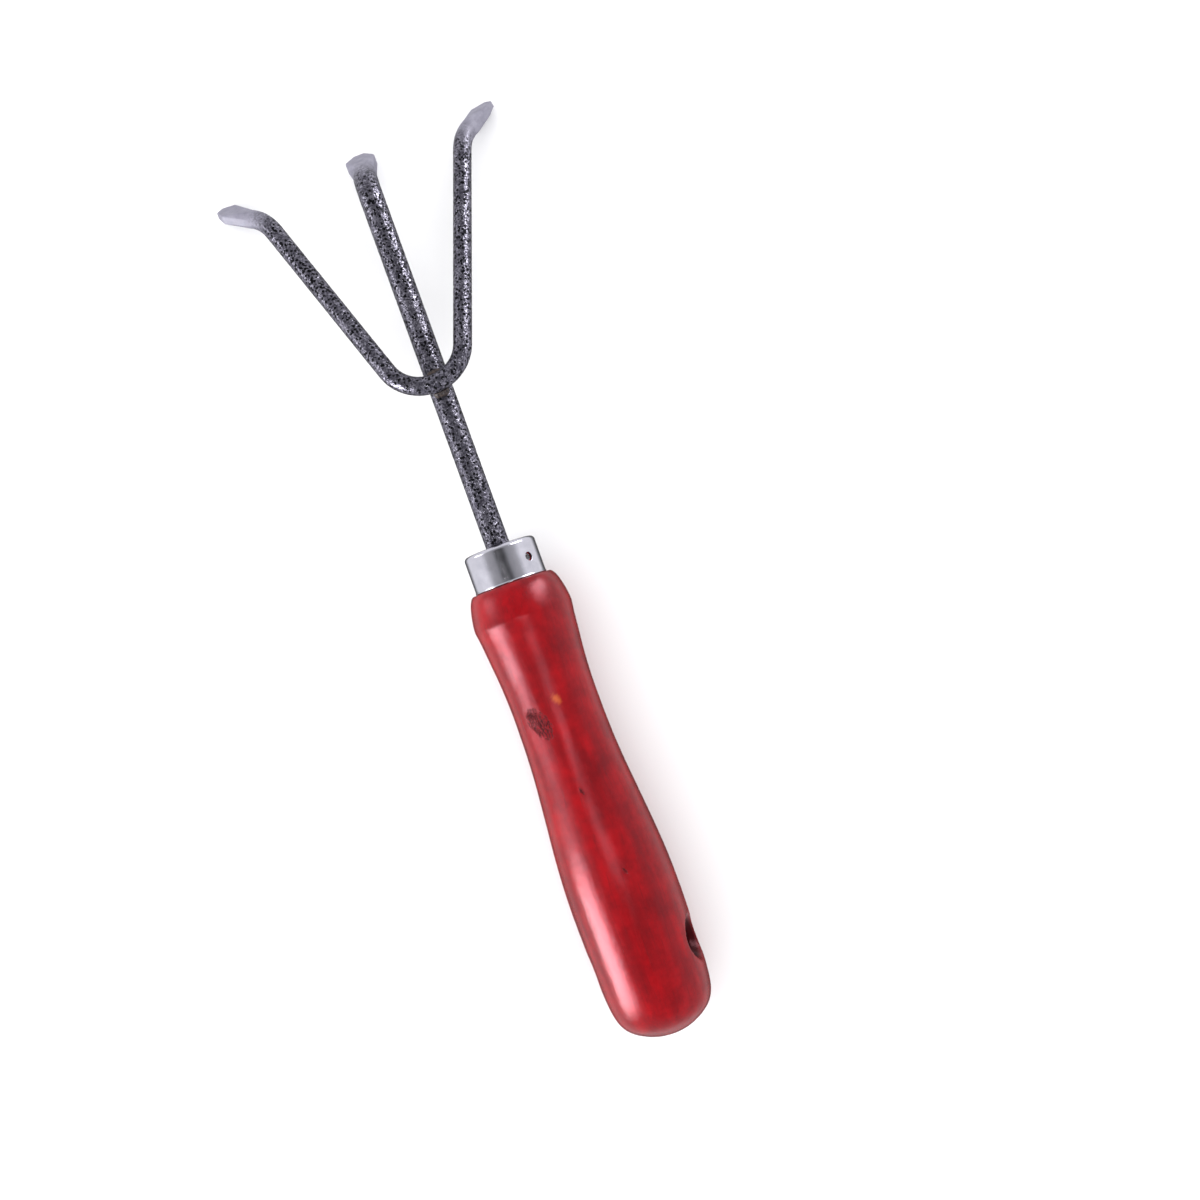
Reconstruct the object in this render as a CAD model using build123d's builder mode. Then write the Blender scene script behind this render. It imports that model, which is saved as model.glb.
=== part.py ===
from build123d import *
import os
from math import cos, radians, sin

os.makedirs("parts", exist_ok=True)

# Hand cultivator: a turned wooden handle, an aluminium ferrule pinned to it, a straight
# centre tine driven into the handle, and a bent rod welded across it for the outer tines.
# +Y runs from the handle to the tines, +X to the right seen from above, +Z is the back of
# the tool. It lies on z = 0 on the belly of its handle and the tips of its tines.
# All sizes are in millimetres and all angles in degrees.

# ---- Overall ----
overall_length = 250.0
axis_height = 14.7  # fullest radius of the handle
butt_y = -overall_length / 2
play = 0.05  # radial gap between pieces that are pushed together

# ---- Handle: (distance from the butt, radius) where the turned outline changes ----
handle_length = 124.6
neck_radius = 11.0
collar_front = (120.6, 12.75)
collar = (115.4, 13.5)
swell = [
    (107.7, 12.6),
    (99.1, 11.85),
    (88.6, 11.6),
    (75.7, 12.0),
    (62.7, 13.1),
    (51.3, 14.15),
    (39.8, 14.67),
    (20.9, 14.4),
    (11.0, 13.9),
    (5.0, 12.0),
    (2.0, 8.3),
]
tenon_length = 9.4
tang_depth = 46.0  # below the handle's shoulder

# ---- Hanging hole near the butt ----
hang_hole_radius = 4.0
hang_mouth_radius = 6.8
hang_hole_from_butt = 22.2
hang_hole_tilt = 12.0  # its axis rises this much towards the right side
hang_wall_length = 22.4

# ---- Ferrule and its nail ----
ferrule_radius = 9.85
ferrule_wall = 0.7
ferrule_length = 10.2
ferrule_edge_round = 1.2
nail_angle = 46.0  # from straight up towards the right
nail_from_shoulder = 4.9
nail_hole_radius = 1.15
nail_head_radius = 1.0
nail_shank_radius = 0.65
nail_length = 5.6

# ---- Centre tine ----
shaft_radius = 3.25
tang_taper = 8.0
tang_end_radius = 1.4
centre_bend_start_y = 105.6
centre_bend_angle = 55.0
centre_bend_radius = 10.7

# ---- Outer tines: one rod in a plane that dips towards the tips ----
rod_radius = 2.5
weld_y = 54.75
fork_offset_x = -0.9
fork_dip = 12.2
fork_bend_radius = 11.0
tip_bend_radius = 11.7


class Tine:
    """One outer tine. side is -1 for the left and 1 for the right."""

    def __init__(self, side, splay, reach, bend, outward, roll, flare, point):
        self.side = side
        self.splay = splay  # angle between the tine and the shaft
        self.reach = reach  # from where the two rods' lines cross to the tip's bend
        self.bend = bend  # how far the tip turns away from the tine's line
        self.outward = outward  # the bend's plane: 0 turns sideways, 90 turns down
        self.roll = roll  # of the blade about its own length, from the bend's plane
        self.flare = flare  # blade length from the bend to its shoulders
        self.point = point  # blade length from its shoulders to its end


left_tine = Tine(
    side=-1, splay=18.75, reach=88.0, bend=40.0, outward=30.0, roll=-33.0, flare=7.2, point=3.2
)
right_tine = Tine(
    side=1, splay=18.4, reach=91.95, bend=40.0, outward=33.0, roll=22.0, flare=4.9, point=4.0
)


class BladeSize:
    """Eight-sided section of a forged blade, wide and flat with a bevel at each corner."""

    def __init__(self, width, flat_width, thickness, flat_thickness, rise):
        self.width = width
        self.flat_width = flat_width  # of the faces above and below
        self.thickness = thickness
        self.flat_thickness = flat_thickness  # of the two edge faces
        self.rise = rise  # of the section's middle towards the blade's back


# ---- Forged blades: sizes for the outer tines, scaled up for the centre tine ----
blade_neck = BladeSize(4.8, 2.0, 4.8, 2.0, rise=0.0)
blade_shoulder = BladeSize(6.6, 6.0, 2.7, 2.1, rise=0.9)
blade_end = BladeSize(2.8, 2.4, 1.9, 1.5, rise=0.9)
centre_blade_scale = 1.25
centre_flare = 5.7  # before scaling up
centre_point = 3.8
blade_overlap = 0.3  # of each bent rod's end into its blade

# ---- Weld beads, in front of the rod and behind it on top of the shaft ----
bead_radius = 1.5
bead_length = 4.4
bead_edge_round = 1.2
bead_distance = 2.3  # from the rod's centreline, along the shaft
bead_height = axis_height + shaft_radius + 0.75


def blade_section(plane, size, scale):
    """The section on a plane whose local x is the blade's width and y its back."""
    corners = [
        (size.flat_width / 2, size.thickness / 2),
        (size.width / 2, size.flat_thickness / 2),
        (size.width / 2, -size.flat_thickness / 2),
        (size.flat_width / 2, -size.thickness / 2),
    ]
    outline = corners + [(-x, y) for x, y in reversed(corners)]
    with BuildSketch(plane, mode=Mode.PRIVATE) as section:
        with BuildLine():
            Polyline(*((scale * x, scale * (y + size.rise)) for x, y in outline), close=True)
        make_face()
    return section.sketch


def blade_sections(root, flare, point, scale=1.0):
    """The three sections of a blade, along the normal of the plane at its root."""
    return [
        blade_section(root, blade_neck, scale),
        blade_section(root.offset(scale * flare), blade_shoulder, scale),
        blade_section(root.offset(scale * (flare + point)), blade_end, scale),
    ]


# ---- Where the rods run ----
weld_height = axis_height + shaft_radius + rod_radius
forward = Vector(0, cos(radians(fork_dip)), -sin(radians(fork_dip)))
mean_splay = (left_tine.splay + right_tine.splay) / 2
crossing_distance = fork_bend_radius / sin(radians(mean_splay)) - fork_bend_radius
crossing = Vector(fork_offset_x, weld_y, weld_height) - forward * crossing_distance


def tine_frame(tine):
    """Corner of the tip's bend, the blade's direction and its convex side's normal."""
    sideways = Vector(tine.side, 0, 0)
    splay, bend, outward = radians(tine.splay), radians(tine.bend), radians(tine.outward)
    along = forward * cos(splay) + sideways * sin(splay)
    across = sideways * cos(splay) - forward * sin(splay)
    down = along.cross(across) * tine.side
    turn = across * cos(outward) + down * sin(outward)
    blade = along * cos(bend) + turn * sin(bend)
    back = along * sin(bend) - turn * cos(bend)
    return crossing + along * tine.reach, blade, back


def bend_tangent(radius, angle):
    """Distance from a bend's corner to where its arc meets the straight rod."""
    return radius * sin(radians(angle / 2)) / cos(radians(angle / 2))


# ---- Handle ----
with BuildPart() as handle:
    shoulder_y = butt_y + handle_length
    with BuildSketch(Plane.XY.offset(axis_height)):
        with BuildLine():
            collar_point = (collar[1], butt_y + collar[0])
            Spline(
                (neck_radius, shoulder_y),
                (collar_front[1], butt_y + collar_front[0]),
                collar_point,
                tangents=[(0.9, -1.0), (0.05, -1.0)],
            )
            Spline(
                collar_point,
                *((radius, butt_y + distance) for distance, radius in swell),
                (0, butt_y),
                tangents=[(-0.15, -1.0), (-1.0, 0.0)],
            )
            Polyline(
                (0, butt_y),
                (0, shoulder_y + tenon_length),
                (ferrule_radius - ferrule_wall - play, shoulder_y + tenon_length),
                (ferrule_radius - ferrule_wall - play, shoulder_y),
                (neck_radius, shoulder_y),
            )
        make_face()
    revolve(axis=Axis((0, 0, axis_height), (0, 1, 0)))

    # Bored for the tang, pointed like it.
    with BuildSketch(Plane.XY.offset(axis_height)):
        with BuildLine():
            Polyline(
                (0, shoulder_y + tenon_length),
                (shaft_radius + play, shoulder_y + tenon_length),
                (shaft_radius + play, shoulder_y - tang_depth + tang_taper),
                (tang_end_radius + play, shoulder_y - tang_depth - play),
                (0, shoulder_y - tang_depth - play),
                close=True,
            )
        make_face()
    revolve(axis=Axis((0, 0, axis_height), (0, 1, 0)), mode=Mode.SUBTRACT)

    # Hanging hole, opened out at both mouths.
    tilt = radians(hang_hole_tilt)
    hang_axis = Vector(cos(tilt), 0, sin(tilt))
    hang_centre = Vector(0, butt_y + hang_hole_from_butt, axis_height)
    with Locations(Plane(origin=hang_centre, z_dir=hang_axis)):
        Hole(radius=hang_hole_radius)
    flare = axis_height - hang_wall_length / 2
    for side in (-1, 1):
        mouth = hang_centre + hang_axis * side * hang_wall_length / 2
        with Locations(Plane(origin=mouth, z_dir=hang_axis * side)):
            Cone(
                bottom_radius=hang_hole_radius,
                top_radius=hang_mouth_radius,
                height=flare,
                align=(Align.CENTER, Align.CENTER, Align.MIN),
                mode=Mode.SUBTRACT,
            )

    # Nail hole in the tenon.
    nail_direction = Vector(sin(radians(nail_angle)), 0, cos(radians(nail_angle)))
    nail_centre = Vector(0, shoulder_y + nail_from_shoulder, axis_height)
    nail_seat = nail_centre + nail_direction * ferrule_radius
    with Locations(Plane(origin=nail_seat, z_dir=nail_direction)):
        Hole(radius=nail_shank_radius + play, depth=nail_length + play)
handle.part.label = "handle"
export_step(handle.part, "parts/handle.step")

# ---- Ferrule ----
with BuildPart() as ferrule:
    with BuildSketch(Plane.XY.offset(axis_height)):
        with BuildLine():
            inner_radius = ferrule_radius - ferrule_wall
            ferrule_top = shoulder_y + ferrule_length
            Polyline(
                (inner_radius, shoulder_y),
                (ferrule_radius, shoulder_y),
                (ferrule_radius, ferrule_top - ferrule_edge_round),
            )
            RadiusArc(
                (ferrule_radius, ferrule_top - ferrule_edge_round),
                (ferrule_radius - ferrule_edge_round, ferrule_top),
                -ferrule_edge_round,
            )
            Polyline(
                (ferrule_radius - ferrule_edge_round, ferrule_top),
                (shaft_radius + play, ferrule_top),
                (shaft_radius + play, ferrule_top - ferrule_wall),
                (inner_radius, ferrule_top - ferrule_wall),
                (inner_radius, shoulder_y),
            )
        make_face()
    revolve(axis=Axis((0, 0, axis_height), (0, 1, 0)))
    with Locations(Plane(origin=nail_seat, z_dir=nail_direction)):
        Hole(radius=nail_hole_radius, depth=ferrule_wall * 2)
ferrule.part.label = "ferrule"
export_step(ferrule.part, "parts/ferrule.step")

# ---- Ferrule nail ----
with BuildPart() as ferrule_nail:
    head_height = ferrule_wall
    with Locations(Plane(origin=nail_seat - nail_direction * head_height, z_dir=nail_direction)):
        Cylinder(
            radius=nail_head_radius,
            height=head_height * 0.6,
            align=(Align.CENTER, Align.CENTER, Align.MIN),
        )
        Cylinder(
            radius=nail_shank_radius,
            height=nail_length - head_height,
            align=(Align.CENTER, Align.CENTER, Align.MAX),
        )
    rim = ferrule_nail.edges().filter_by(GeomType.CIRCLE).sort_by(Axis((0, 0, 0), nail_direction))[-1]
    fillet(rim, radius=head_height * 0.4)
ferrule_nail.part.label = "ferrule_nail"
export_step(ferrule_nail.part, "parts/ferrule_nail.step")

# ---- Centre tine, with its tang ----
with BuildPart() as centre_tine:
    turned_down = radians(centre_bend_angle)
    centre_blade = Vector(0, cos(turned_down), -sin(turned_down))
    centre_back = Vector(0, sin(turned_down), cos(turned_down))
    centre_tangent = bend_tangent(centre_bend_radius, centre_bend_angle)
    centre_corner = Vector(0, centre_bend_start_y + centre_tangent, axis_height)
    taper_start_y = shoulder_y - tang_depth + tang_taper
    with BuildLine() as shaft_path:
        FilletPolyline(
            (0, taper_start_y, axis_height),
            centre_corner,
            centre_corner + centre_blade * (centre_tangent + blade_overlap),
            radius=centre_bend_radius,
        )
    with BuildSketch(Plane(origin=shaft_path.line @ 0, z_dir=shaft_path.line % 0)):
        Circle(radius=shaft_radius)
    sweep(path=shaft_path.line)
    with Locations(Plane(origin=(0, taper_start_y, axis_height), z_dir=(0, -1, 0))):
        Cone(
            bottom_radius=shaft_radius,
            top_radius=tang_end_radius,
            height=tang_taper,
            align=(Align.CENTER, Align.CENTER, Align.MIN),
        )
    blade_root = Plane(
        origin=centre_corner + centre_blade * centre_tangent,
        x_dir=centre_back.cross(centre_blade),
        z_dir=centre_blade,
    )
    loft(
        sections=blade_sections(blade_root, centre_flare, centre_point, centre_blade_scale),
        ruled=True,
    )
centre_tine.part.label = "centre_tine"
export_step(centre_tine.part, "parts/centre_tine.step")

# ---- Outer tines ----
with BuildPart() as outer_tines:
    left_corner, left_blade, left_back = tine_frame(left_tine)
    right_corner, right_blade, right_back = tine_frame(right_tine)
    left_tangent = bend_tangent(tip_bend_radius, left_tine.bend)
    right_tangent = bend_tangent(tip_bend_radius, right_tine.bend)
    with BuildLine() as rod_path:
        FilletPolyline(
            left_corner + left_blade * (left_tangent + blade_overlap),
            left_corner,
            crossing,
            right_corner,
            right_corner + right_blade * (right_tangent + blade_overlap),
            radius=[tip_bend_radius, fork_bend_radius, tip_bend_radius],
        )
    with BuildSketch(Plane(origin=rod_path.line @ 0, z_dir=rod_path.line % 0)):
        Circle(radius=rod_radius)
    sweep(path=rod_path.line)
    for tine, corner, blade, back, tangent in (
        (left_tine, left_corner, left_blade, left_back, left_tangent),
        (right_tine, right_corner, right_blade, right_back, right_tangent),
    ):
        width_direction = back.cross(blade).rotate(Axis((0, 0, 0), blade), tine.roll)
        blade_root = Plane(origin=corner + blade * tangent, x_dir=width_direction, z_dir=blade)
        loft(sections=blade_sections(blade_root, tine.flare, tine.point), ruled=True)
outer_tines.part.label = "outer_tines"
export_step(outer_tines.part, "parts/outer_tines.step")

# ---- Weld beads ----
with BuildPart() as weld_beads:
    for side in (-1, 1):
        bead_centre = (0, weld_y + side * bead_distance, bead_height)
        with Locations(Plane(origin=bead_centre, z_dir=(1, 0, 0))):
            Cylinder(radius=bead_radius, height=bead_length)
    fillet(weld_beads.edges().filter_by(GeomType.CIRCLE), radius=bead_edge_round)
    add(centre_tine.part, mode=Mode.SUBTRACT)
    add(outer_tines.part, mode=Mode.SUBTRACT)
weld_beads.part.label = "weld_beads"
export_step(weld_beads.part, "parts/weld_beads.step")
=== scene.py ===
from math import cos, pi, radians, sin

import bmesh
import bpy
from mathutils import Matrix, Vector, noise


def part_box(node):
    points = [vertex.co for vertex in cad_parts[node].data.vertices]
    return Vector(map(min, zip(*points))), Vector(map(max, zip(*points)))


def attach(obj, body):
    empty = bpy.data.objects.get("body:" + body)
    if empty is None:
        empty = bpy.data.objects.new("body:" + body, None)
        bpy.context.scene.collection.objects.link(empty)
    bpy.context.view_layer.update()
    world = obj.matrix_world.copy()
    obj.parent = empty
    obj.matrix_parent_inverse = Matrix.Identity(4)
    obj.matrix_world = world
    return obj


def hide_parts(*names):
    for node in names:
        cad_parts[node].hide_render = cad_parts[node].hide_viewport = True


# Looks for the hand cultivator. Lengths are in metres in the row frame: +Y from the handle to
# the tines, +X to the right seen from above, +Z up, with the tool lying on z = 0.

MM = 0.001

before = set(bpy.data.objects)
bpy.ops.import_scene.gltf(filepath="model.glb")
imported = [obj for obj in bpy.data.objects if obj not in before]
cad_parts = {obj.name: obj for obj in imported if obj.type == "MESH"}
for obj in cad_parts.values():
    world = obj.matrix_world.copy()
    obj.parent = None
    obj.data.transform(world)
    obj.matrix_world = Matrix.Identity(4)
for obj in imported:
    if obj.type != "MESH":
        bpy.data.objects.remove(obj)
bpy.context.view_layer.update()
ferrule_low, ferrule_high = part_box("ferrule")
nail_low, nail_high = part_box("ferrule_nail")

# ---- Places read from the frame ----
axis_z = (ferrule_low.z + ferrule_high.z) / 2
butt_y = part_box("handle")[0].y
shoulder_y = ferrule_low.y
ferrule_radius = (ferrule_high.x - ferrule_low.x) / 2
ferrule_length = ferrule_high.y - ferrule_low.y
shaft_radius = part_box("centre_tine")[1].z - axis_z
nail_y = (nail_low.y + nail_high.y) / 2
nail_head_radius = (nail_high.y - nail_low.y) / 2

# ---- Surface sizes ----
handle_voxel = 0.4 * MM
tine_voxel = 0.2 * MM
weld_voxel = 0.12 * MM
lathe_step = 0.15 * MM
lathe_segments = 320

# ---- Ferrule and nail ----
ferrule_wall = 0.7 * MM
nail_angle = radians(46)  # from straight up towards the right
nail_hole_radius = 1.15 * MM

# ---- Bare forged tips: distances from the end of each tine ----
bare_until = 6.0 * MM
painted_from = 22.0 * MM

# ---- Hang hole ----
hole_distance = 22.2 * MM  # from the butt to the hole's axis
hole_tilt = radians(12)
hole_radius = 4.0 * MM
hole_mouth_radius = 6.8 * MM

# ---- Marks on top of the handle: (distance from the butt, x, radius, depth) ----
handle_scuffs = [
    (88.0 * MM, -5.0 * MM, 4.9 * MM, 0.12 * MM),
    (68.6 * MM, -0.6 * MM, 1.2 * MM, 0.14 * MM),
    (46.0 * MM, 2.9 * MM, 1.1 * MM, 0.10 * MM),
]
worn_spot = (92.7 * MM, 1.2 * MM)
worn_spot_radius = 1.4 * MM
mark_slant = 0.25  # how far a mark leans across the handle for each step along it
mark_squeeze = 0.62  # lengths along the handle count this much, so a mark is longer than wide


# ------------------------------------------------------------------ mesh work


def smoothstep(low, high, value):
    """0 below low and 1 above high, with an eased change between them."""
    share = min(max((value - low) / (high - low), 0.0), 1.0)
    return share * share * (3 - 2 * share)


def new_piece(name, mesh, material, slot, *nodes):
    """Puts a finished mesh in the scene in place of the CAD nodes it stands for."""
    piece = bpy.data.objects.new(name, mesh)
    bpy.context.scene.collection.objects.link(piece)
    mesh.materials.clear()
    mesh.materials.append(material)
    mesh.shade_smooth()
    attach(piece, "root")
    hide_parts(*nodes)
    return piece


def baked(working, name):
    """The working object's mesh with its modifiers applied. The working object goes."""
    depsgraph = bpy.context.evaluated_depsgraph_get()
    mesh = bpy.data.meshes.new_from_object(working.evaluated_get(depsgraph))
    mesh.name = name
    bpy.data.objects.remove(working)
    return mesh


def softened_copy(node, voxel, passes):
    """An even, fine mesh over a CAD node's shape, with its edges softened."""
    working = bpy.data.objects.new("working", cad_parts[node].data.copy())
    bpy.context.scene.collection.objects.link(working)
    remesh = working.modifiers.new("remesh", "REMESH")
    remesh.mode = "VOXEL"
    remesh.voxel_size = voxel
    soften = working.modifiers.new("soften", "SMOOTH")
    soften.factor = 0.5
    soften.iterations = passes
    return baked(working, node + "_surface")


def lathed(name, outline, origin, axis):
    """A solid of revolution. The outline is a closed loop of (radius, distance along axis)."""
    side = axis.orthogonal().normalized()
    other = axis.cross(side)
    points = []
    for start, end in zip(outline, outline[1:] + outline[:1]):
        length = (Vector(end) - Vector(start)).length
        steps = max(1, round(length / lathe_step))
        points += [Vector(start).lerp(Vector(end), step / steps) for step in range(steps)]
    vertices = []
    for turn in range(lathe_segments):
        angle = 2 * pi * turn / lathe_segments
        outward = side * cos(angle) + other * sin(angle)
        vertices += [origin + outward * radius + axis * along for radius, along in points]
    count = len(points)
    faces = []
    for turn in range(lathe_segments):
        here = turn * count
        there = (turn + 1) % lathe_segments * count
        for index in range(count):
            after = (index + 1) % count
            faces.append((here + index, here + after, there + after, there + index))
    mesh = bpy.data.meshes.new(name)
    mesh.from_pydata(vertices, [], faces)
    shell = bmesh.new()
    shell.from_mesh(mesh)
    bmesh.ops.remove_doubles(shell, verts=shell.verts, dist=1e-7)
    bmesh.ops.recalc_face_normals(shell, faces=shell.faces)
    shell.to_mesh(mesh)
    shell.free()
    return mesh


def arc(centre, radius, start, end, steps):
    """Points on an arc of an outline. Angles are in degrees from the radius direction."""
    angles = [radians(start + (end - start) * step / steps) for step in range(steps + 1)]
    return [(centre[0] + radius * cos(a), centre[1] + radius * sin(a)) for a in angles]


def sink(mesh, depth_at):
    """Moves every vertex inwards along its normal by depth_at(point)."""
    places = [(v.co.copy(), v.normal.copy()) for v in mesh.vertices]
    for vertex, (point, normal) in zip(mesh.vertices, places):
        vertex.co = point - normal * depth_at(point)
    mesh.update()


def mark(mesh, name, value_at):
    """Stores value_at(point) on the mesh for its material to read."""
    attribute = mesh.attributes.new(name, "FLOAT", "POINT")
    attribute.data.foreach_set("value", [value_at(v.co) for v in mesh.vertices])


def ripple(point, size):
    """Smooth random waves from 0 to 1 whose bumps are about this size."""
    return 0.5 + 0.5 * noise.noise(point / size)


def dimple(point, size):
    """Round dents packed side by side: 1 in the middle of each and 0 at their borders."""
    steepness = 1.6
    nearest, second = noise.voronoi(point / size)[0][:2]
    return min(1.0, steepness * (second - nearest))


# ------------------------------------------------------------------ materials


class Nodes:
    """Builds one material's node tree with short calls."""

    def __init__(self, name):
        self.material = bpy.data.materials.new(name)
        self.material.use_nodes = True
        self.tree = self.material.node_tree
        self.tree.nodes.clear()
        self.shader = self.tree.nodes.new("ShaderNodeBsdfPrincipled")
        output = self.tree.nodes.new("ShaderNodeOutputMaterial")
        self.tree.links.new(self.shader.outputs[0], output.inputs["Surface"])
        self.place = self.tree.nodes.new("ShaderNodeTexCoord").outputs["Object"]

    def put(self, socket, value):
        """Links a node's output to a socket, or sets the socket to a plain value."""
        if isinstance(value, bpy.types.NodeSocket):
            self.tree.links.new(value, socket)
        else:
            socket.default_value = value

    def set(self, **inputs):
        """Sets the shader's own sockets: set(Base_Color=..., Roughness=...)."""
        for name, value in inputs.items():
            self.put(self.shader.inputs[name.replace("_", " ")], value)

    def stretched(self, x, y, z):
        """Object position scaled, so that noise is drawn out along an axis."""
        mapping = self.tree.nodes.new("ShaderNodeMapping")
        mapping.inputs["Scale"].default_value = (x, y, z)
        self.put(mapping.inputs["Vector"], self.place)
        return mapping.outputs[0]

    def noise(self, size, place=None, detail=3.0, roughness=0.5, distortion=0.0):
        """Cloudy noise, mostly from 0.25 to 0.75, with bumps of about this size."""
        node = self.tree.nodes.new("ShaderNodeTexNoise")
        self.put(node.inputs["Vector"], place or self.place)
        node.inputs["Scale"].default_value = 1 / size
        node.inputs["Detail"].default_value = detail
        node.inputs["Roughness"].default_value = roughness
        node.inputs["Distortion"].default_value = distortion
        return node.outputs["Fac"]

    def cells(self, size):
        """Distance to the nearest of many scattered points, this far apart."""
        node = self.tree.nodes.new("ShaderNodeTexVoronoi")
        self.put(node.inputs["Vector"], self.place)
        node.inputs["Scale"].default_value = 1 / size
        return node.outputs["Distance"]

    def attribute(self, name):
        """A value that mark() stored on the mesh."""
        node = self.tree.nodes.new("ShaderNodeAttribute")
        node.attribute_name = name
        return node.outputs["Fac"]

    def ramp(self, value, *stops):
        """Colours at positions from 0 to 1. A stop is (position, grey or colour)."""
        node = self.tree.nodes.new("ShaderNodeValToRGB")
        elements = node.color_ramp.elements
        while len(elements) < len(stops):
            elements.new(1.0)
        for element, (position, colour) in zip(elements, stops):
            element.position = position
            grey = isinstance(colour, (int, float))
            element.color = (colour, colour, colour, 1) if grey else (*colour, 1)
        self.put(node.inputs["Fac"], value)
        return node.outputs["Color"]

    def mix(self, share, first, second):
        """The first colour at a share of 0, the second at 1."""
        node = self.tree.nodes.new("ShaderNodeMix")
        node.data_type = "RGBA"
        self.put(node.inputs[0], share)
        for socket, value in ((node.inputs[6], first), (node.inputs[7], second)):
            self.put(socket, (*value, 1) if isinstance(value, tuple) else value)
        return node.outputs[2]

    def math(self, operation, first, second=0.0):
        node = self.tree.nodes.new("ShaderNodeMath")
        node.operation = operation
        self.put(node.inputs[0], first)
        self.put(node.inputs[1], second)
        return node.outputs[0]

    def bump(self, height, distance, before=None):
        """A normal for fine relief, laid over another bump if one is given."""
        node = self.tree.nodes.new("ShaderNodeBump")
        node.inputs["Distance"].default_value = distance
        self.put(node.inputs["Height"], height)
        if before:
            self.put(node.inputs["Normal"], before)
        return node.outputs[0]


def red_lacquer():
    """Red stain on close-grained wood under clear lacquer, with scuffs and a bare spot."""
    n = Nodes("red_lacquer")
    along_grain = n.stretched(1.0, 0.035, 1.0)
    grain = n.noise(0.45 * MM, along_grain, detail=5.0, roughness=0.6, distortion=0.4)
    bands = n.noise(4.0 * MM, n.stretched(1.0, 0.12, 1.0), detail=3.0)
    mottle = n.noise(6.0 * MM, detail=5.0, roughness=0.65)
    stain = n.ramp(mottle, (0.32, (0.172, 0.0004, 0.0020)), (0.70, (0.325, 0.0007, 0.0028)))
    banded = n.mix(n.ramp(bands, (0.42, 0.0), (0.66, 0.45)), stain, (0.095, 0.0003, 0.0014))
    grained = n.mix(n.ramp(grain, (0.56, 0.0), (0.74, 0.45)), banded, (0.050, 0.0005, 0.001))
    worn = n.mix(n.attribute("worn"), grained, (0.42, 0.075, 0.010))
    # Scuffs break up into streaks. The hang hole gets painted shade: its wood is coloured dark,
    # but it stays as smooth as the lacquer, so at a low angle it still mirrors the lights.
    streaks = n.noise(0.42 * MM, n.stretched(1.0, 0.35, 1.0), detail=5.0, roughness=0.75)
    streaked = n.math("MULTIPLY", n.attribute("scuff"), streaks)
    broken = n.ramp(streaked, (0.46, 0.0), (0.54, 1.0))
    # Painted shade: the hang hole's wood gets the scuffs' dark colour, so dark holds both the
    # real scuffs and this painted shade.
    hole_shade = n.ramp(n.attribute("hole"), (0.15, 0.0), (0.70, 1.0))
    dark = n.math("MAXIMUM", broken, hole_shade)
    # Relief: gentle lumps in the lacquer, fine dust under it, and the broken scuffs.
    peel = n.noise(1.3 * MM, detail=2.0)
    specks = n.noise(0.42 * MM, detail=3.0, roughness=0.75)
    dust = n.ramp(specks, (0.42, 0.0), (0.68, 1.0))
    lumps = n.bump(peel, 0.020 * MM)
    grit = n.bump(dust, 0.009 * MM, before=lumps)
    gloss = n.ramp(grain, (0.3, 0.19), (0.8, 0.29))
    n.set(
        # The scuffs' own colour, which is also the hang hole's painted shade.
        Base_Color=n.mix(dark, worn, (0.034, 0.0007, 0.0014)),
        Roughness=n.mix(broken, gloss, (0.6, 0.6, 0.6)),
        Specular_IOR_Level=n.ramp(dark, (0.0, 0.5), (1.0, 0.12)),
        Specular_Tint=(1.0, 0.42, 0.50, 1.0),
        Normal=n.bump(n.math("SUBTRACT", 1.0, broken), 0.05 * MM, before=grit),
    )
    return n.material


def polished_aluminium():
    """Spun aluminium: bright, with fine rings round it and a few handling scratches."""
    n = Nodes("polished_aluminium")
    rings = n.noise(0.10 * MM, n.stretched(0.02, 1.0, 0.02), detail=3.0, roughness=0.7)
    scratches = n.noise(0.12 * MM, n.stretched(1.0, 0.05, 1.0), detail=4.0, roughness=0.8)
    smudge = n.noise(3.5 * MM, detail=4.0, roughness=0.6)
    tone = n.ramp(smudge, (0.25, (0.50, 0.495, 0.55)), (0.75, (0.60, 0.59, 0.65)))
    colour = n.mix(n.ramp(rings, (0.55, 0.0), (0.75, 0.35)), tone, (0.44, 0.44, 0.48))
    turned = n.bump(rings, 0.006 * MM)
    n.set(
        Base_Color=colour,
        Metallic=1.0,
        Roughness=n.ramp(smudge, (0.25, 0.10), (0.80, 0.18)),
        Normal=n.bump(n.ramp(scratches, (0.66, 0.0), (0.74, 1.0)), 0.008 * MM, before=turned),
    )
    return n.material


def nail_steel():
    """Bright drawn steel, blotched near black by painted shade that makes the sunk head look
    dark in its hole.
    """
    n = Nodes("nail_steel")
    shade_blotches = n.noise(0.5 * MM, detail=4.0, roughness=0.65)
    n.set(
        # Painted shade: noise blotches darken the steel to near black.
        Base_Color=n.ramp(shade_blotches, (0.42, (0.22, 0.22, 0.23)), (0.56, (0.02, 0.017, 0.017))),
        Metallic=1.0,
        Roughness=n.ramp(shade_blotches, (0.40, 0.22), (0.70, 0.55)),
        Normal=n.bump(shade_blotches, 0.02 * MM),
    )
    return n.material


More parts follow.
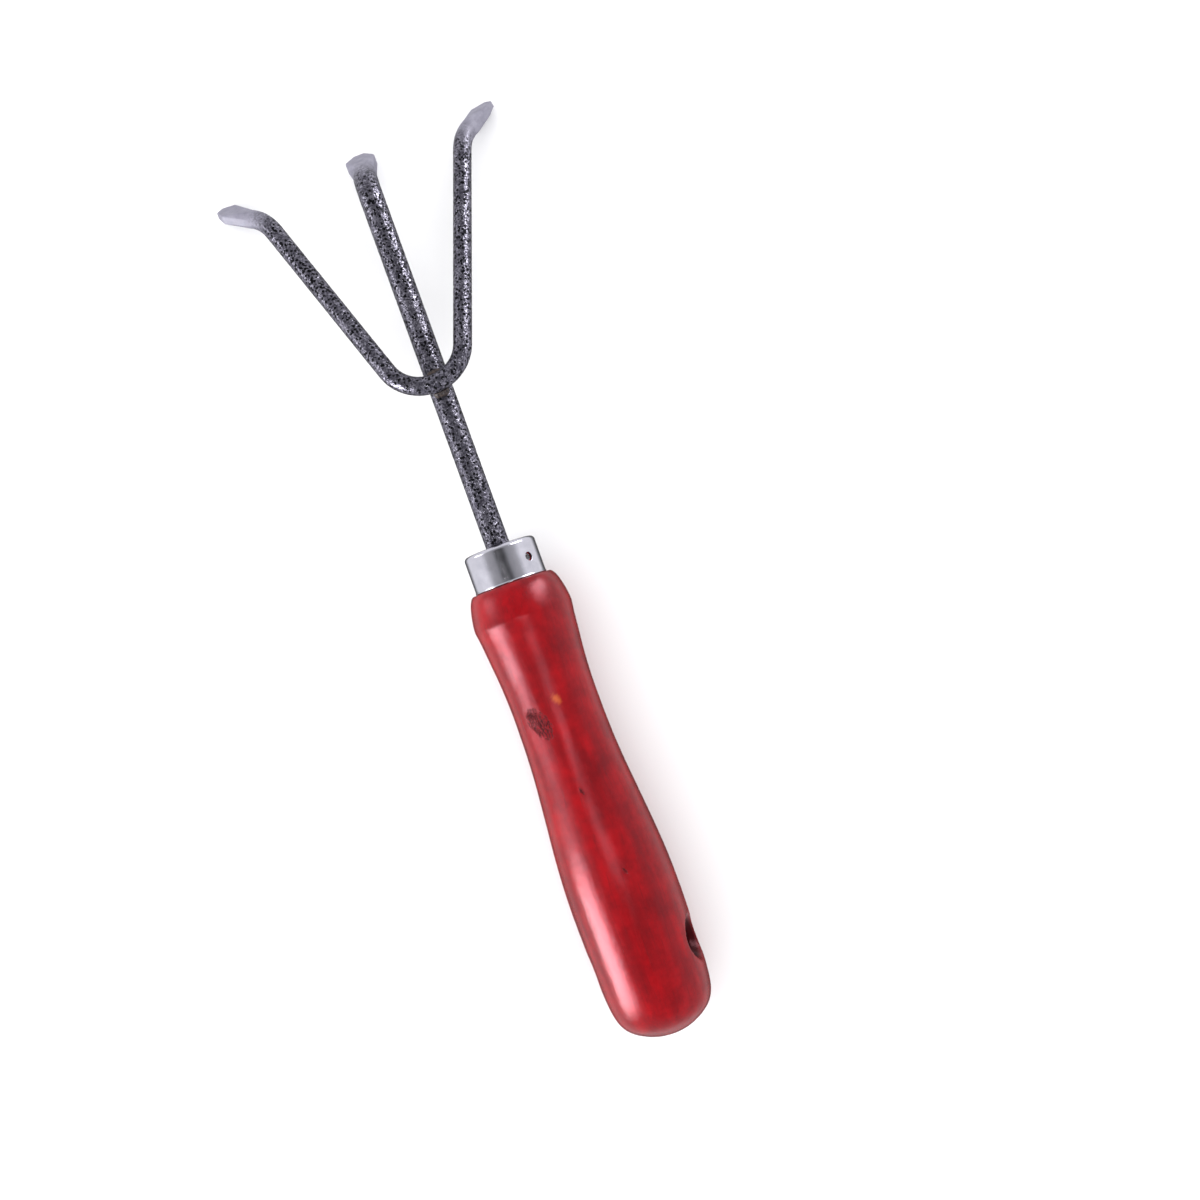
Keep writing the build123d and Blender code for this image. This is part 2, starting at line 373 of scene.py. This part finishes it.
def hammered_paint():
    """Charcoal hammered paint, pitted black, fading to smooth pale forged steel at the tips."""
    n = Nodes("hammered_paint")
    ragged = n.math("SUBTRACT", n.noise(1.8 * MM, detail=4.0), 0.5)
    edge = n.math("ADD", n.attribute("bare"), n.math("MULTIPLY", ragged, 0.5))
    bare = n.ramp(edge, (0.15, 0.0), (0.85, 1.0))
    cloud = n.noise(2.4 * MM, detail=4.0, roughness=0.6)
    # The paint: bright metal flakes, darker clouds and black pits.
    warp = n.noise(0.5 * MM, detail=2.0)
    nudge = n.math("MULTIPLY", n.math("SUBTRACT", warp, 0.5), 0.4)
    pit = n.ramp(n.math("ADD", n.cells(1.0 * MM), nudge), (0.35, 1.0), (0.42, 0.0))
    flake = n.ramp(warp, (0.40, (0.040, 0.038, 0.052)), (0.64, (0.310, 0.297, 0.358)))
    film = n.mix(n.ramp(cloud, (0.35, 0.75), (0.65, 0.0)), flake, (0.045, 0.042, 0.058))
    painted = n.mix(pit, film, (0.004, 0.004, 0.006))
    painted_gloss = n.ramp(warp, (0.40, 0.38), (0.66, 0.20))
    # The bare steel: cloudy and faintly brushed.
    brushed = n.noise(0.35 * MM, detail=4.0, roughness=0.7)
    steel = n.ramp(cloud, (0.30, (0.205, 0.197, 0.250)), (0.72, (0.295, 0.287, 0.352)))
    smooth = n.mix(n.ramp(brushed, (0.58, 0.0), (0.75, 0.30)), steel, (0.15, 0.143, 0.18))
    smooth_gloss = n.ramp(brushed, (0.3, 0.56), (0.7, 0.66))
    hammered = n.math("SUBTRACT", warp, pit)
    relief = n.mix(bare, hammered, n.ramp(brushed, (0.3, 0.45), (0.7, 0.5)))
    n.set(
        Base_Color=n.mix(bare, painted, smooth),
        Metallic=n.ramp(bare, (0.0, 0.85), (1.0, 0.12)),
        Roughness=n.mix(bare, painted_gloss, smooth_gloss),
        Normal=n.bump(relief, 0.09 * MM),
    )
    return n.material


def painted_weld():
    """Weld metal under thin dark paint, brownish where the heat came through."""
    n = Nodes("painted_weld")
    scorch = n.noise(0.9 * MM, detail=4.0, roughness=0.7)
    grit = n.noise(0.25 * MM, detail=3.0, roughness=0.7)
    burnt = n.ramp(scorch, (0.35, (0.012, 0.011, 0.014)), (0.68, (0.075, 0.050, 0.040)))
    n.set(
        Base_Color=n.mix(n.ramp(grit, (0.60, 0.0), (0.72, 0.5)), burnt, (0.22, 0.21, 0.24)),
        Metallic=0.4,
        Roughness=n.ramp(scorch, (0.3, 0.34), (0.7, 0.60)),
        Normal=n.bump(grit, 0.05 * MM),
    )
    return n.material


def pale_floor():
    """Matt, nearly white and very slightly uneven."""
    n = Nodes("pale_floor")
    tint = n.noise(0.12, detail=2.0)
    n.set(
        Base_Color=n.ramp(tint, (0.3, (0.93, 0.93, 0.93)), (0.7, (0.95, 0.95, 0.95))),
        Roughness=0.9,
        Specular_IOR_Level=0.1,
    )
    return n.material


# ------------------------------------------------------------------ handle


def on_handle_top(point, distance, x):
    """How far a point is from an oblong, aslant mark on top of the handle, seen from above."""
    if point.z < axis_z:
        return 1.0
    across = point.x - x
    along = point.y - butt_y - distance
    return Vector((across + mark_slant * along, mark_squeeze * along)).length


def handle_scuff(point):
    """1 in the middle of a scuff and 0 away from them all."""
    return max(
        1 - smoothstep(0.45 * radius, radius, on_handle_top(point, distance, x))
        for distance, x, radius, _ in handle_scuffs
    )


def handle_depth(point):
    """Lacquer that isn't quite level over the turned wood, and the scuffs in it."""
    lacquer = 0.10 * MM * ripple(point, 9 * MM) + 0.035 * MM * ripple(point, 2.2 * MM)
    grain = 0.03 * MM * ripple(Vector((point.x, point.y * 0.15, point.z)), 1.1 * MM)
    grain += 0.022 * MM * ripple(point, 1.0 * MM)
    scuffs = max(
        depth * (1 - smoothstep(0.0, radius, on_handle_top(point, distance, x)))
        for distance, x, radius, depth in handle_scuffs
    )
    return lacquer + grain + scuffs * (0.4 + 0.6 * ripple(point, 0.8 * MM))


def handle_wear(point):
    """1 at the small bare spot, where the wood shows orange."""
    reach = worn_spot_radius * (0.4 + 1.0 * ripple(point, 0.6 * MM))
    return 1 - smoothstep(0.2 * reach, reach, on_handle_top(point, *worn_spot))


def handle_hole_shade(point):
    """1 in the hang hole and 0 beyond its rounded mouth: where the lacquer gets its painted
    shade.
    """
    axis = Vector((cos(hole_tilt), 0, sin(hole_tilt)))
    middle = Vector((0, butt_y + hole_distance, axis_z))
    away = (point - middle).cross(axis).length
    return 1 - smoothstep(hole_radius, hole_mouth_radius, away)


handle_mesh = softened_copy("handle", handle_voxel, passes=4)
# The hang hole's mask, which paints shade into the hole.
mark(handle_mesh, "hole", handle_hole_shade)
mark(handle_mesh, "scuff", handle_scuff)
mark(handle_mesh, "worn", handle_wear)
sink(handle_mesh, handle_depth)
new_piece("handle_wood", handle_mesh, red_lacquer(), "red_lacquered_wood", "handle")

# ------------------------------------------------------------------ ferrule and nail

axis_origin = Vector((0, shoulder_y, axis_z))
nail_direction = Vector((sin(nail_angle), 0, cos(nail_angle)))
nail_seat = Vector((0, nail_y, axis_z)) + nail_direction * ferrule_radius


def ferrule_outline():
    """Rolled lip at the handle, straight wall, rounded shoulder and a lip round the shaft."""
    lip = 0.28 * MM  # radius of the rolled edge, which stands out past the wall
    lip_height = 0.14 * MM
    shoulder = 1.2 * MM
    shaft_gap = 0.08 * MM
    collar = 0.35 * MM
    top = ferrule_length
    wall_radius = ferrule_radius - lip_height
    inner = wall_radius - ferrule_wall
    bore = shaft_radius + shaft_gap
    outline = [(inner, 0.0)]
    outline += arc((ferrule_radius - lip, lip), lip, -90, 60, 8)
    outline += [(wall_radius, 2.2 * lip)]
    outline += arc((wall_radius - shoulder, top - shoulder), shoulder, 0, 90, 12)
    outline += arc((bore + collar, top - collar), collar, 90, 180, 6)
    outline += [(bore, top - ferrule_wall), (inner, top - ferrule_wall)]
    return outline


def ferrule_depth(point):
    """Slight hollows from spinning and handling."""
    return 0.05 * MM * ripple(point, 6 * MM) + 0.012 * MM * ripple(point, 1.8 * MM)


def nail_hole_cutter():
    """A drill's shape with a small countersink, through the ferrule's wall."""
    depth = 2 * ferrule_wall
    rim = 0.18 * MM
    return [
        (0.0, -depth),
        (nail_hole_radius, -depth),
        (nail_hole_radius, -1.6 * rim),
        (nail_hole_radius + rim, 0.0),
        (nail_hole_radius + 2 * rim, 2 * rim),
        (0.0, 2 * rim),
    ]


def drilled(mesh, name):
    """The ferrule with its nail hole cut through."""
    cutter_mesh = lathed("cutter", nail_hole_cutter(), nail_seat, nail_direction)
    cutter = bpy.data.objects.new("cutter", cutter_mesh)
    working = bpy.data.objects.new("working", mesh)
    for piece in (cutter, working):
        bpy.context.scene.collection.objects.link(piece)
    cut = working.modifiers.new("nail_hole", "BOOLEAN")
    cut.operation = "DIFFERENCE"
    cut.solver = "EXACT"
    cut.object = cutter
    result = baked(working, name)
    bpy.data.objects.remove(cutter)
    return result


ferrule_mesh = lathed("ferrule_blank", ferrule_outline(), axis_origin, Vector((0, 1, 0)))
sink(ferrule_mesh, ferrule_depth)
ferrule_mesh = drilled(ferrule_mesh, "ferrule_shell")
new_piece("ferrule_shell", ferrule_mesh, polished_aluminium(), "polished_aluminium", "ferrule")


def nail_outline():
    """Domed head on a short shank with a blunt point. Heights are from the ferrule's surface."""
    head_radius = 0.95 * nail_head_radius
    shank_radius = 0.62 * head_radius
    under_head = -1.05 * MM
    head_rise = 0.5 * MM
    taper_from = -3.6 * MM
    point_from = -5.0 * MM
    tip = -5.5 * MM
    outline = [
        (0.0, tip),
        (0.5 * shank_radius, point_from),
        (shank_radius, taper_from),
        (shank_radius, under_head),
        (head_radius, under_head),
    ]
    for degrees in range(90, 5, -10):
        height = head_rise * (0.35 + 0.65 * cos(radians(degrees)))
        outline.append((head_radius * sin(radians(degrees)), under_head + height))
    outline.append((0.0, under_head + head_rise))
    return outline


nail_mesh = lathed("nail", nail_outline(), nail_seat, nail_direction)
new_piece("nail", nail_mesh, nail_steel(), "nail_steel", "ferrule_nail")

# ------------------------------------------------------------------ tines


def farthest(mesh, direction):
    """The place of the vertex that lies farthest in a direction."""
    return max((v.co for v in mesh.vertices), key=direction.dot).copy()


def tine_piece(name, node, tip_directions, material):
    """A tine with hammered paint on its rod and smooth forged ends, which lie farthest in
    the tip directions."""
    mesh = softened_copy(node, tine_voxel, passes=1)
    ends = [farthest(mesh, direction) for direction in tip_directions]

    def bare(point):
        nearest = min((point - end).length for end in ends)
        return 1 - smoothstep(bare_until, painted_from, nearest)

    def depth(point):
        smooth = bare(point)
        dents = 0.085 * MM * dimple(point, 0.95 * MM) + 0.04 * MM * ripple(point, 0.45 * MM)
        forging = 0.06 * MM * ripple(point, 2.6 * MM)
        return dents * (1 - smooth) + forging * (0.4 + 0.6 * smooth)

    mark(mesh, "bare", bare)
    sink(mesh, depth)
    return new_piece(name, mesh, material, "hammered_paint", node)


paint = hammered_paint()
centre_tip = Vector((0, 1, -0.3))
left_tip = Vector((-1, 0.2, 0))
right_tip = Vector((1, 0.8, 0))
tine_piece("centre_tine_rod", "centre_tine", [centre_tip], paint)
tine_piece("outer_tine_rod", "outer_tines", [left_tip, right_tip], paint)

# ------------------------------------------------------------------ welds


def weld_depth(point):
    """Overlapping ripples left by the weld pool, and small lumps."""
    ripple_pitch = 0.9 * MM
    pool = 0.5 + 0.5 * sin(2 * pi * point.x / ripple_pitch)
    return 0.09 * MM * pool + 0.08 * MM * ripple(point, 0.5 * MM)


weld_mesh = softened_copy("weld_beads", weld_voxel, passes=6)
sink(weld_mesh, weld_depth)
new_piece("weld_metal", weld_mesh, painted_weld(), "painted_weld", "weld_beads")

# ------------------------------------------------------------------ floor, light and camera

floor_size = 3.0
camera_place = Vector((20.3 * MM, -12.4 * MM, axis_z + 0.400))
camera_turn = radians(-19.94)  # about the upright: the tool lies aslant in the picture
camera_lens = 45.8


def make_floor():
    half = floor_size / 2
    mesh = bpy.data.meshes.new("floor")
    corners = [(-half, -half, 0), (half, -half, 0), (half, half, 0), (-half, half, 0)]
    mesh.from_pydata(corners, [], [(0, 1, 2, 3)])
    mesh.materials.append(pale_floor())
    floor = bpy.data.objects.new("floor", mesh)
    bpy.context.scene.collection.objects.link(floor)
    # The floor isn't in reflections, where it would put a pale rim round the lacquer.
    floor.visible_glossy = False


def softbox(name, place, target, width, length, radiance, in_reflections=True, on_matt=True):
    """A rectangular light aimed at target. It can be left out of reflections, or light
    nothing but reflections."""
    data = bpy.data.lights.new(name, "AREA")
    data.shape = "RECTANGLE"
    data.size = width
    data.size_y = length
    data.energy = radiance * pi * width * length
    light = bpy.data.objects.new(name, data)
    light.location = place
    facing = (target - place).normalized()
    light.rotation_euler = facing.to_track_quat("-Z", "Y").to_euler()
    light.visible_glossy = in_reflections
    light.visible_diffuse = on_matt
    bpy.context.scene.collection.objects.link(light)


# Brightness of the walls by height: -1 straight down, 0 at the horizon and 1 overhead.
wall_glow = [
    (-1.0, 0.08),
    (-0.82, 0.20),
    (-0.60, 1.10),
    (0.45, 1.10),
    (0.70, 0.55),
    (0.92, 0.42),
    (0.985, 0.07),
]


def studio_walls():
    """Soft light from all round: bright at the sides, dark overhead and below the floor."""
    world = bpy.data.worlds.new("studio")
    world.use_nodes = True
    tree = world.node_tree
    place = tree.nodes.new("ShaderNodeTexCoord")
    split = tree.nodes.new("ShaderNodeSeparateXYZ")
    height = tree.nodes.new("ShaderNodeMapRange")
    height.inputs["From Min"].default_value = -1.0
    ramp = tree.nodes.new("ShaderNodeValToRGB")
    elements = ramp.color_ramp.elements
    while len(elements) < len(wall_glow):
        elements.new(1.0)
    for element, (level, grey) in zip(elements, wall_glow):
        element.position = (level + 1) / 2
        element.color = (grey, grey, 1.03 * grey, 1)
    tree.links.new(place.outputs["Generated"], split.inputs[0])
    tree.links.new(split.outputs["Z"], height.inputs["Value"])
    tree.links.new(height.outputs[0], ramp.inputs["Fac"])
    tree.links.new(ramp.outputs["Color"], tree.nodes["Background"].inputs["Color"])
    bpy.context.scene.world = world


def make_camera():
    data = bpy.data.cameras.new("camera")
    data.lens = camera_lens
    data.clip_start = 0.01
    camera = bpy.data.objects.new("camera", data)
    camera.location = camera_place
    camera.rotation_euler = (0, 0, camera_turn)
    bpy.context.scene.collection.objects.link(camera)
    bpy.context.scene.camera = camera


make_floor()
studio_walls()
ground = Vector((0, 0, 0))
grip = Vector((0, butt_y / 2, axis_z))
fork = Vector((0, 0.07, axis_z))
claw = Vector((0, 0.08, axis_z))
# One box gives the lacquer's long highlight, and a fill beside it lights the wood.
box_place = Vector((-0.62, -0.25, 0.20))
fill_place = Vector((-0.34, -0.06, 0.20))
softbox("left_softbox", box_place, grip, 0.26, 0.42, radiance=21.0, on_matt=False)
softbox("left_fill", fill_place, grip, 0.12, 0.24, radiance=8.0, in_reflections=False)
# Two boxes put sparkles along the sides of the rods.
tine_place = Vector((-0.62, 0.30, 0.20))
right_place = Vector((0.58, 0.34, 0.26))
softbox("tine_softbox", tine_place, fork, 0.22, 0.36, radiance=3.5, on_matt=False)
softbox("right_softbox", right_place, claw, 0.22, 0.50, radiance=11.0, on_matt=False)
# A narrow strip draws the thin streak along the top of the handle.
strip_place = Vector((0.012, -0.0675, 0.46))
softbox("top_strip", strip_place, grip, 0.010, 0.195, radiance=36.0, on_matt=False)
# A large soft ceiling lights everything evenly.
overhead = Vector((0, 0, 1.3))
softbox("ceiling", overhead, ground, 3.0, 3.0, radiance=1.08, in_reflections=False)
make_camera()
bpy.context.scene.view_settings.view_transform = "Standard"
